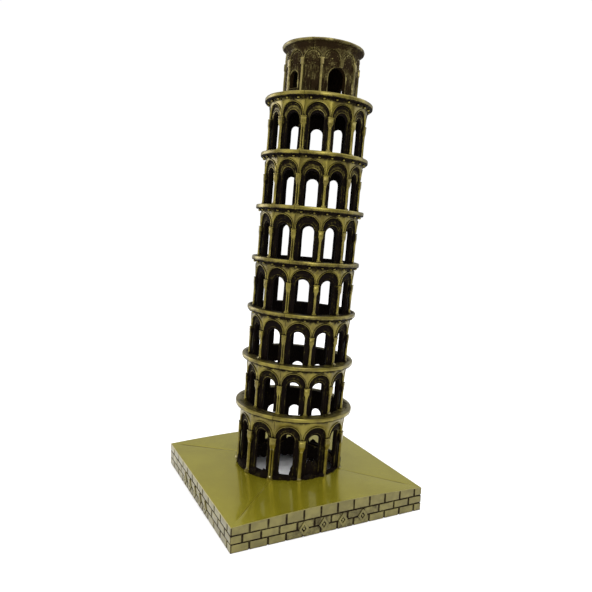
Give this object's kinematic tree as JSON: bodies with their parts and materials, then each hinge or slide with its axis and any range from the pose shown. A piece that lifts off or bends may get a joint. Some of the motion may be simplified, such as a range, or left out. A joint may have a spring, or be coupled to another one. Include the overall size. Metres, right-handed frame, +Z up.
{
  "type": "miniature landmark model",
  "caption": "Cast brass-finish miniature of a leaning round arcaded bell tower, hollow inside, standing on a square base with brick-relief sides; a shelf ornament.",
  "frame": {"origin": "centre of the square base's underside, on the surface that the model stands on", "axes": "+Z up; -Y is the base's front side, the one with four raised ornaments; the tower leans towards +X"},
  "size_m": [0.08, 0.08, 0.1809],
  "materials": {
    "base_brass": "polished and brushed antique brass on top, darker patina in the brick joints",
    "arcade_brass": "antique brass plate, rubbed bright on the raised parts, near-black brown patina in the recesses and inside",
    "belfry_brass": "antique brass plate, darker than the storeys below, rubbed bright on the parapet's edge"
  },
  "bodies": {
    "root": {"base": "base_brass", "ground_storey_right_half": "arcade_brass", "ground_storey_left_half": "arcade_brass", "loggia_1_right_half": "arcade_brass", "loggia_1_left_half": "arcade_brass", "loggia_2_right_half": "arcade_brass", "loggia_2_left_half": "arcade_brass", "loggia_3_right_half": "arcade_brass", "loggia_3_left_half": "arcade_brass", "loggia_4_right_half": "arcade_brass", "loggia_4_left_half": "arcade_brass", "loggia_5_right_half": "arcade_brass", "loggia_5_left_half": "arcade_brass", "loggia_6_right_half": "arcade_brass", "loggia_6_left_half": "arcade_brass", "belfry_right_half": "belfry_brass", "belfry_left_half": "belfry_brass"}
  },
  "joints": []
}
